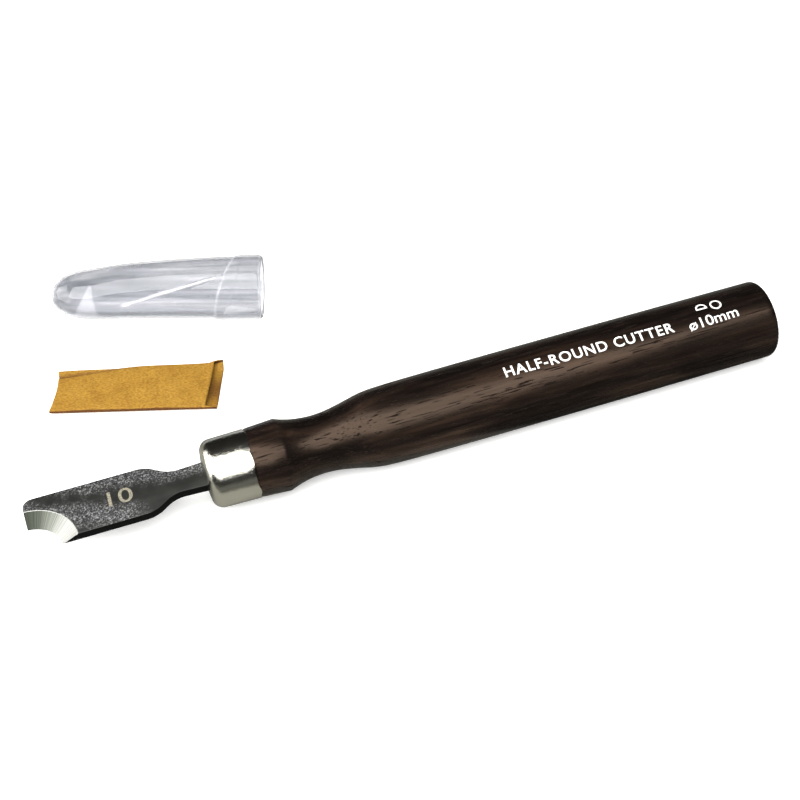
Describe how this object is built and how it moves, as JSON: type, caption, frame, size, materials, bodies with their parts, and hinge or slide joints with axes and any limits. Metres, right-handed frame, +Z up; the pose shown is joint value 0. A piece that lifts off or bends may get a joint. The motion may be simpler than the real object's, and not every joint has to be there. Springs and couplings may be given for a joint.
{
  "type": "lino cutter",
  "caption": "Half-round lino cutter with a turned dark wood handle and nickel ferrule, beside its clear blade cap and amber paper sleeve.",
  "frame": {"origin": "centre of the handle's flat butt, on the tool's axis", "axes": "+X along the tool's axis out of the butt, so the blade points to -X; +Z up, square to the flat blade; cap and sleeve lie towards +Y"},
  "size_m": [0.1215, 0.0627, 0.0128],
  "materials": {
    "blade_steel": "dark forged scale with a bright ground bevel",
    "ferrule_nickel": "bright nickel plate",
    "handle_wood": "dark stain, satin oil, open pores",
    "cap_vinyl": "clear soft vinyl",
    "sleeve_paper": "amber kraft paper"
  },
  "bodies": {
    "tool": {"blade": "blade_steel", "ferrule": "ferrule_nickel", "handle": "handle_wood"},
    "cap_body": {"cap": "cap_vinyl"},
    "sleeve_body": {"sleeve": "sleeve_paper"}
  },
  "joints": [
    {"name": "cap_push", "type": "slide", "parent": "tool", "child": "cap_body", "axis": [0.9272, -0.3746, 0], "range_m": [0, 0.035]},
    {"name": "sleeve_push", "type": "slide", "parent": "tool", "child": "sleeve_body", "axis": [0.9505, -0.3107, 0], "range_m": [0, 0.0286]}
  ]
}
